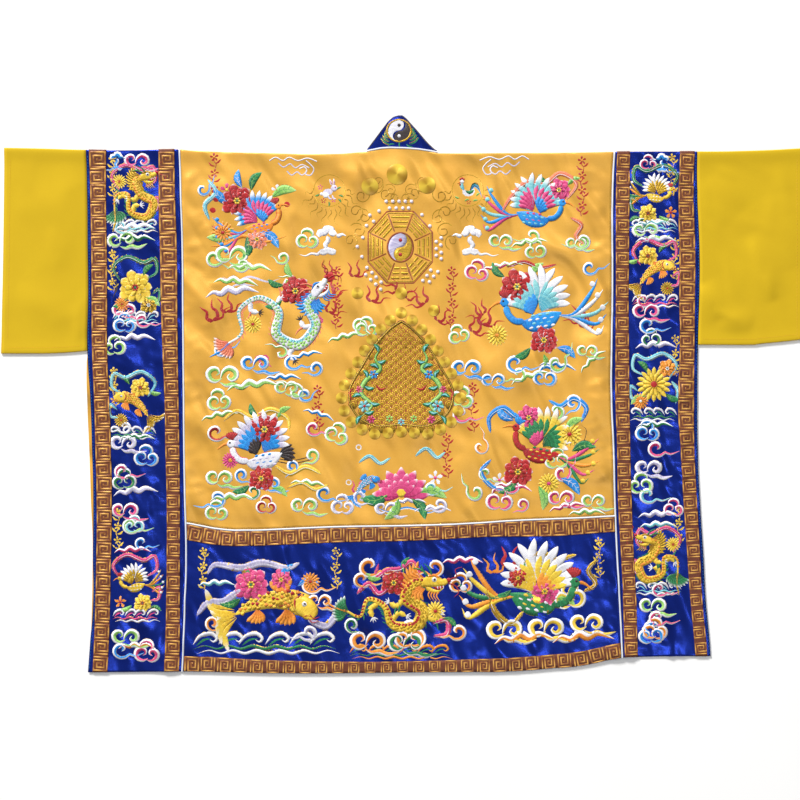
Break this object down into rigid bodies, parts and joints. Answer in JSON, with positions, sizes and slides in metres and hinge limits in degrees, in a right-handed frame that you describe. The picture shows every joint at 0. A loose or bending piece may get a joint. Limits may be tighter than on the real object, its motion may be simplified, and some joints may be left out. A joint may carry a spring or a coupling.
{
  "type": "taoist robe",
  "caption": "Taoist ceremonial robe laid flat, back up: gold satin field, blue bands with fret ribbons, yellow sleeves and a folded collar peak.",
  "frame": {"origin": "centre of the robe's footprint, on the surface that it lies on", "axes": "+Z out of the back, +Y towards the collar, +X to the right as the back is seen, along the sleeves"},
  "size_m": [1.924, 1.339, 0.0082],
  "materials": {
    "gold_satin": "satin weave with a soft sheen",
    "blue_satin": "satin weave with a bright sheen",
    "yellow_cloth": "plain matt cloth",
    "fret_ribbon": "woven ribbon with a gold fret on red-brown",
    "white_piping": "satin-covered cord",
    "thread_gold": "metallic gold thread",
    "thread_orange": "silk thread",
    "thread_red": "silk thread",
    "thread_pink": "silk thread",
    "thread_green": "silk thread",
    "thread_blue": "silk thread",
    "thread_white": "silk thread",
    "thread_dark": "silk thread",
    "thread_yellow": "silk thread",
    "thread_lilac": "silk thread",
    "thread_light_green": "silk thread",
    "thread_cyan": "silk thread",
    "thread_salmon": "silk thread",
    "thread_brown": "silk thread",
    "pearl": "small sewn-on beads"
  },
  "bodies": {
    "root": {"back_field": "gold_satin", "back_hem_panel": "blue_satin", "side_band_left": "blue_satin", "side_band_right": "blue_satin", "ribbon_left_outer": "fret_ribbon", "ribbon_left_inner": "fret_ribbon", "ribbon_right_inner": "fret_ribbon", "ribbon_right_outer": "fret_ribbon", "ribbon_hem_upper": "fret_ribbon", "ribbon_hem_lower": "fret_ribbon", "piping_left": "white_piping", "piping_right": "white_piping", "piping_hem": "white_piping", "piping_neck": "white_piping", "collar_back": "blue_satin", "collar_medallion": "thread_white", "collar_front_left": "blue_satin", "collar_front_right": "blue_satin", "front_left": "gold_satin", "front_right": "gold_satin", "sleeve_left": "yellow_cloth", "sleeve_right": "yellow_cloth"}
  },
  "joints": []
}
